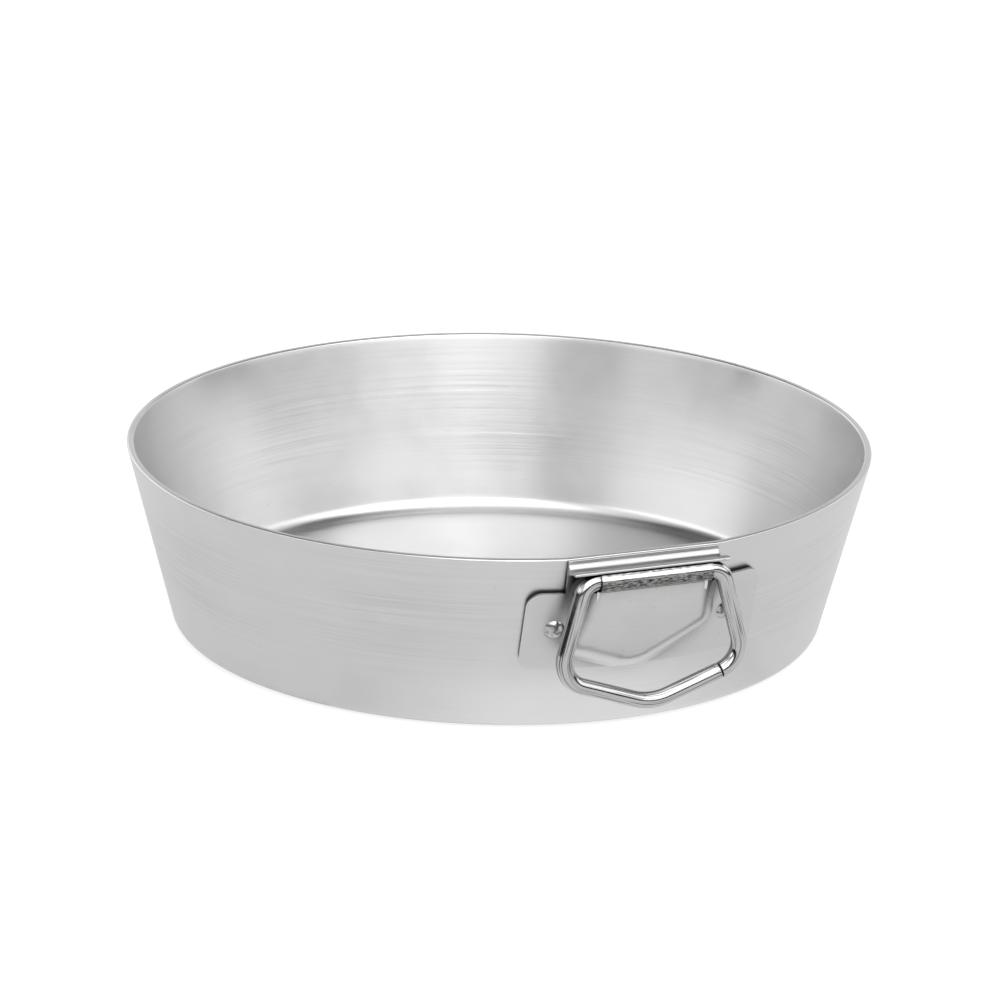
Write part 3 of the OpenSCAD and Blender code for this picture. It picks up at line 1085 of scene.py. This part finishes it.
@dataclass
class WireHandle:
    """The drop handle: one bent wire, whose ends meet where the lower right bend starts."""

    axis: tuple[float, float] = AXIS
    wire_d: float = 7.0
    top_w: float = 60.4
    low_w: float = 82.6
    low_drop: float = 40.8
    tip_drop: float = 55.3
    bends: tuple[float, ...] = (12.0, 7.0, 7.0, 12.0, 24.0)
    ends_gap: float = 0.4
    sides: int = 56
    longest_quad: float = 2.0
    side_shift: float = SIDE_SHIFT

    def path(self) -> tuple[Array, Array]:
        """Middle line of the wire from one end to the other: straight runs and arcs.

        Each corner turns by t with bend radius b, so its arc starts b tan(t / 2) before
        the corner. The wire's ends are at the start of the lower right bend.

        Returns:
            Rows of (sideways, height over the axis), and the direction at each.
        """
        corners = np.array(
            [[self.low_w / 2, -self.low_drop], [self.top_w / 2, 0], [-self.top_w / 2, 0],
             [-self.low_w / 2, -self.low_drop], [0, -self.tip_drop]]
        )
        points, ways = [], []
        for i, radius in enumerate(self.bends):
            into = corners[i] - corners[i - 1]
            away = corners[(i + 1) % 5] - corners[i]
            a = math.atan2(into[1], into[0])
            turn = (math.atan2(away[1], away[0]) - a + math.pi) % (2 * math.pi) - math.pi
            trim = radius * math.tan(abs(turn) / 2)
            first = corners[i] - trim * into / np.linalg.norm(into)
            steps = np.linspace(0, turn, max(8, int(abs(turn) * radius / 0.5)))
            heading = a + steps
            bend = first + radius * np.stack(
                [np.sin(heading) - math.sin(a), math.cos(a) - np.cos(heading)], 1
            )
            points.append(bend)
            ways.append(np.stack([np.cos(heading), np.sin(heading)], 1))
        end_way = ways[0][:1]
        end = points[0][:1] - self.ends_gap * end_way
        return np.concatenate([*points, end]), np.concatenate([*ways, end_way])

    def build(self) -> bpy.types.Object:
        """Sweeps a circle along the path, with its ends eased in like cropped wire.

        Returns:
            The dressed handle.
        """
        line, way = self.path()
        r = self.wire_d / 2
        # Fill the straight runs so that no quad is longer than a few millimetres
        step = np.linalg.norm(np.diff(line, axis=0), axis=1)
        count = np.maximum(1, np.ceil(step / self.longest_quad).astype(int))
        share = np.concatenate([np.arange(n) / n for n in count] + [[0.0]])
        index = np.concatenate([np.full(n, i) for i, n in enumerate(count)] + [[len(line) - 1]])
        after = np.minimum(index + 1, len(line) - 1)
        line = line[index] + share[:, None] * (line[after] - line[index])
        way = way[index] + share[:, None] * (way[after] - way[index])
        way /= np.linalg.norm(way, axis=1)[:, None]
        # Ends: rings that close in, (set-in along the wire, share of the radius)
        cap = np.array([[0.0, 0.0], [0.0, 0.82], [0.08, 0.93], [0.3, 1.0]])
        head = line[0] + cap[:, :1] * way[0]
        tail = line[-1] - cap[::-1, :1] * way[-1]
        rings = np.concatenate([head, line[1:-1], tail])
        ways = np.concatenate([np.repeat(way[:1], 4, 0), way[1:-1], np.repeat(way[-1:], 4, 0)])
        size = np.concatenate([cap[:, 1], np.ones(len(line) - 2), cap[::-1, 1]])
        round_ = np.linspace(0, 2 * math.pi, self.sides, endpoint=False)
        side = np.stack([-ways[:, 1], ways[:, 0]], 1)
        across = size[:, None] * r * np.cos(round_)[None, :]
        front = size[:, None] * r * np.sin(round_)[None, :]
        flat = rings[:, None, :] + across[..., None] * side[:, None, :]
        points = np.stack(
            [flat[..., 0] + self.side_shift, -self.axis[0] + front, flat[..., 1] + self.axis[1]], -1
        )
        faces = grid_faces(len(rings), len(round_), False, True)
        made = make_object("bent_wire", points.reshape(-1, 3), [faces], sharp=60, tidy=False)
        self.lay_run_map(made, rings, r, round_)
        weld(made.data, drop_slivers=False)
        made.data.shade_smooth()
        made.data.set_sharp_from_angle(angle=math.radians(60))
        return finish_piece(made, Body.HANDLE, Slot.WIRE, WIRE.material(), "wire_handle")

    @staticmethod
    def lay_run_map(made: bpy.types.Object, rings: Array, r: float, round_: Array) -> None:
        """Writes the UV map 'run': distance along the wire and distance round it, in metres.

        Args:
            made: The wire.
            rings: Middle points of its rings.
            r: Its radius in millimetres.
            round_: Angles of the points of a ring.
        """
        along = np.concatenate([[0], np.cumsum(np.linalg.norm(np.diff(rings, axis=0), axis=1))])
        columns = len(round_)
        mesh = made.data
        corner = np.empty(len(mesh.loops), dtype=np.int32)
        mesh.loops.foreach_get("vertex_index", corner)
        ring, turn = corner // columns, corner % columns
        # The last quad of each ring closes the circle, so its far corners go a full turn on
        quads = turn.reshape(-1, 4)
        wraps = (quads.max(1) == columns - 1) & (quads.min(1) == 0)
        full = np.where(wraps[:, None] & (quads == 0), columns, quads).reshape(-1)
        uv = np.stack([along[ring], full * 2 * math.pi * r / columns], 1) * MM
        layer = mesh.uv_layers.new(name="run")
        layer.uv.foreach_set("vector", uv.astype(np.float32).ravel())


# ------------------------------------------------------------------- studio


def toward(azimuth: float, elevation: float) -> Vector:
    """Unit direction (sin a cos e, -cos a cos e, sin e) of an azimuth and elevation in degrees."""
    a, e = math.radians(azimuth), math.radians(elevation)
    return Vector((math.sin(a) * math.cos(e), -math.cos(a) * math.cos(e), math.sin(e)))


@dataclass
class Studio:
    """Camera, white ground, soft lights and the dark side of the room."""

    azimuth: float = -22.283
    elevation: float = 19.452
    distance: float = 2.56
    aim: tuple[float, float, float] = (0.00074, -0.00032, 0.05262)
    roll: float = 1.19
    lens: float = 212.35
    fill: float = 0.75
    ground_tone: str = "#8C8C8C"
    ground_seen: float = 0.80
    ground_mirrored: float = 0.61
    card_fade: float = 0.27
    lamp_aim: tuple[float, float, float] = (0.0, 0.0, 0.04)

    def camera(self) -> None:
        """Places the camera on its sphere round the base, aims it and rolls it."""
        spot = self.distance * toward(self.azimuth, self.elevation)
        data = bpy.data.cameras.new("view")
        data.lens = self.lens
        data.sensor_width = 36.0
        data.clip_start, data.clip_end = 0.05, 60.0
        camera = bpy.data.objects.new("view", data)
        camera.location = spot
        facing = (Vector(self.aim) - spot).to_track_quat("-Z", "Y")
        camera.rotation_mode = "QUATERNION"
        camera.rotation_quaternion = facing @ Quaternion((0, 0, 1), math.radians(self.roll))
        bpy.context.scene.collection.objects.link(camera)
        bpy.context.scene.camera = camera
        bpy.context.scene.view_settings.view_transform = "Standard"

    def world(self) -> None:
        """White all round for what shows it, and a softer grey as light on the ground."""
        world = bpy.data.worlds.new("studio_world")
        world.use_nodes = True
        tree = world.node_tree
        tree.nodes.clear()
        rays = add(tree, "LightPath").node.outputs
        shown = add(tree, "Math", {0: rays["Is Camera Ray"], 1: rays["Is Glossy Ray"]}, **PLUS)
        shown = add(tree, "Math", {0: shown, 1: rays["Is Transmission Ray"]}, operation="MAXIMUM")
        strength = add(tree, "MapRange", span(shown, 0.0, 1.0, self.fill, 1.0))
        light = add(tree, "Background", {"Color": linear("#FFFFFF"), "Strength": strength})
        add(tree, "OutputWorld", {"Surface": light})
        bpy.context.scene.world = world

    def stage(
        self, name: str, points: Array, faces: Array, surface: Callable[[Tree], Socket]
    ) -> bpy.types.Object:
        """Adds a staged sheet.

        Args:
            name: The name of sheet and material.
            points: Corners in metres.
            faces: Corner numbers of its faces.
            surface: Builds the shader in a given tree and hands back its output.

        Returns:
            The sheet.
        """
        mesh = bpy.data.meshes.new(name)
        mesh.from_pydata(points.reshape(-1, 3).tolist(), [], faces.tolist())
        made = bpy.data.materials.new(name)
        made.use_nodes = True
        tree = made.node_tree
        tree.nodes.clear()
        add(tree, "OutputMaterial", {"Surface": surface(tree)})
        mesh.materials.append(made)
        sheet = bpy.data.objects.new(name, mesh)
        bpy.context.scene.collection.objects.link(sheet)
        return sheet

    def ground(self) -> None:
        """White ground that keeps the pan's shadow."""

        def surface(tree: Tree) -> Socket:
            """Matt ground that also glows for the camera and in reflections.

            Args:
                tree: The node tree.

            Returns:
                The shader's output.
            """
            matt = add(tree, "BsdfDiffuse", {"Color": linear(self.ground_tone)})
            rays = add(tree, "LightPath").node.outputs
            shown = add(tree, "Math", {0: rays["Is Camera Ray"], 1: self.ground_seen}, **TIMES)
            in_metal = {0: rays["Is Glossy Ray"], 1: self.ground_mirrored}
            mirrored = add(tree, "Math", in_metal, **TIMES)
            own = add(tree, "Math", {0: shown, 1: mirrored}, **PLUS)
            glow = add(tree, "Emission", {"Color": linear("#FFFFFF"), "Strength": own})
            return add(tree, "AddShader", {0: matt, 1: glow})

        # Metres; the ground lies a hair under the pan's base
        half, low = 12.0, -0.0003
        signs = ((-1, -1), (1, -1), (1, 1), (-1, 1))
        corners = np.array([[half * x, half * y, low] for x, y in signs])
        self.stage("ground", corners, np.array([[0, 1, 2, 3]]), surface)

    def only_in_metal(self, sheet: bpy.types.Object) -> None:
        """Hides a card from everything but reflections.

        Args:
            sheet: The card.
        """
        sheet.visible_camera = False
        sheet.visible_shadow = False
        sheet.visible_diffuse = False

    def bounce_card(
        self, azimuth: float, half: float, near: float, far: float, glow: float
    ) -> None:
        """Lays a bright ring-shaped card on the ground round the pan's foot.

        Its points are (r sin a, -r cos a, height), with r from near to far.

        Args:
            azimuth: Degrees round from the handle's side, of its middle.
            half: Half its reach round the pan, in degrees.
            near: Inner radius in millimetres.
            far: Outer radius in millimetres.
            glow: Its brightness, where 1 is the white of the room.
        """
        a = np.radians(azimuth + np.linspace(-half, half, CARD_STEPS))[None, :]
        r = np.array([near, far])[:, None] * MM
        points = np.stack([r * np.sin(a), -r * np.cos(a), 0.0004 + 0 * a * r], -1)

        def surface(tree: Tree) -> Socket:
            """Glow that fades to about the ground's own brightness at the card's ends.

            Args:
                tree: The node tree.

            Returns:
                The shader's output.
            """
            away = self.off_centre(tree, points)
            ends = self.ground_mirrored + self.card_fade
            fading = add(tree, "MapRange", span(away, 0.03, 0.10, glow, ends))
            return add(tree, "Emission", {"Strength": fading})

        card = self.stage("bounce_card", points, grid_faces(2, CARD_STEPS, False, False), surface)
        self.only_in_metal(card)

    @staticmethod
    def off_centre(tree: Tree, points: Array) -> Socket:
        """Distance from a sheet's middle point, so that its glow can fade towards its ends.

        Args:
            tree: The node tree.
            points: The sheet's points, in rows.

        Returns:
            That distance in metres.
        """
        middle = tuple(float(v) for v in points[:, points.shape[1] // 2].mean(0))
        place = add(tree, "TexCoord", out=3)
        return add(tree, "VectorMath", {0: place, 1: middle}, out=1, operation="DISTANCE")

    def curtain(
        self,
        name: str,
        azimuth: float,
        elevation: float,
        half: tuple[float, float],
        tone: str,
        radius: float = 3.0,
    ) -> None:
        """Hangs a dark curved cloth that only shows in metal, as a studio flag does.

        Its points lie on a sphere: radius (sin a cos e, -cos a cos e, sin e).

        Args:
            name: The cloth's name.
            azimuth: Degrees round from the handle's side, towards +X, of its middle.
            elevation: Degrees above the ground of its middle.
            half: Half its width and half its height, in degrees.
            tone: Its colour as sRGB hex.
            radius: Metres from the pan.
        """
        a = np.radians(azimuth + np.linspace(-half[0], half[0], CARD_STEPS))[None, :]
        e = np.radians(elevation + np.linspace(-half[1], half[1], CARD_RISES))[:, None]
        x, y = np.sin(a) * np.cos(e), -np.cos(a) * np.cos(e)
        points = radius * np.stack([x, y, np.sin(e) + 0 * a], -1)
        cloth = self.stage(
            name,
            points,
            grid_faces(CARD_RISES, CARD_STEPS, False, False),
            lambda tree: add(tree, "Emission", {"Color": linear(tone)}),
        )
        self.only_in_metal(cloth)

    def softbox(
        self,
        name: str,
        azimuth: float,
        elevation: float,
        half: tuple[float, float],
        glow: float,
        distance: float = 2.4,
    ) -> None:
        """Adds an area light on a sphere round the pan, aimed at it.

        Args:
            name: The lamp's name.
            azimuth: Degrees round from the handle's side, towards +X.
            elevation: Degrees above the ground.
            half: Half its width and half its height as the pan sees them, in degrees.
            glow: Its brightness, where 1 is the white of the room.
            distance: Metres from the pan.
        """
        spot = distance * toward(azimuth, elevation)
        data = bpy.data.lights.new(name, "AREA")
        data.shape = "RECTANGLE"
        data.size, data.size_y = (2 * distance * math.tan(math.radians(h)) for h in half)
        # A sheet of area A that gives off radiance L in all directions has power pi A L
        data.energy = glow * math.pi * data.size * data.size_y
        lamp = bpy.data.objects.new(name, data)
        lamp.location = spot
        lamp.rotation_mode = "QUATERNION"
        lamp.rotation_quaternion = (Vector(self.lamp_aim) - spot).to_track_quat("-Z", "Y")
        bpy.context.scene.collection.objects.link(lamp)

    def build(self) -> None:
        """Sets the whole studio."""
        self.world()
        self.ground()
        self.softbox("front_softbox", -2.6, 48, (34.5, 31.5), 1.6)
        self.softbox("centre_softbox", -8, 38, (9, 22), 0.6, 2.3)
        self.softbox("left_softbox", -95, 25, (29, 7.7), 1.5)
        self.softbox("rear_left_softbox", -154, 25, (29, 7.7), 1.4)
        self.softbox("right_softbox", 74.5, 31, (34, 20), 0.9)
        self.bounce_card(-8, 44, 136, 166, 1.15)
        self.curtain("low_curtain", -12, 6.4, (104, 6.6), "#000000")
        self.curtain("rear_curtain", 158, 50, (88, 21), "#000000", 3.2)


def main() -> None:
    """Builds camera, studio and pieces in order."""
    logging.basicConfig(level=logging.INFO, format="%(name)s %(message)s")
    for node in frame["nodes"]:
        LOG.info("CAD node %s", node)
    studio = Studio()
    studio.camera()
    pan = Pan()
    pan.build()
    Bracket(pan).build()
    Sleeve(pan).build()
    metal = RIVET.material()
    Rivet("rivet_dome_left", "rivet_left", -1.0, pan).build(metal)
    Rivet("rivet_dome_right", "rivet_right", 1.0, pan).build(metal)
    WireHandle().build()
    studio.build()
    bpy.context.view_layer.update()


if __name__ == "__main__":
    main()
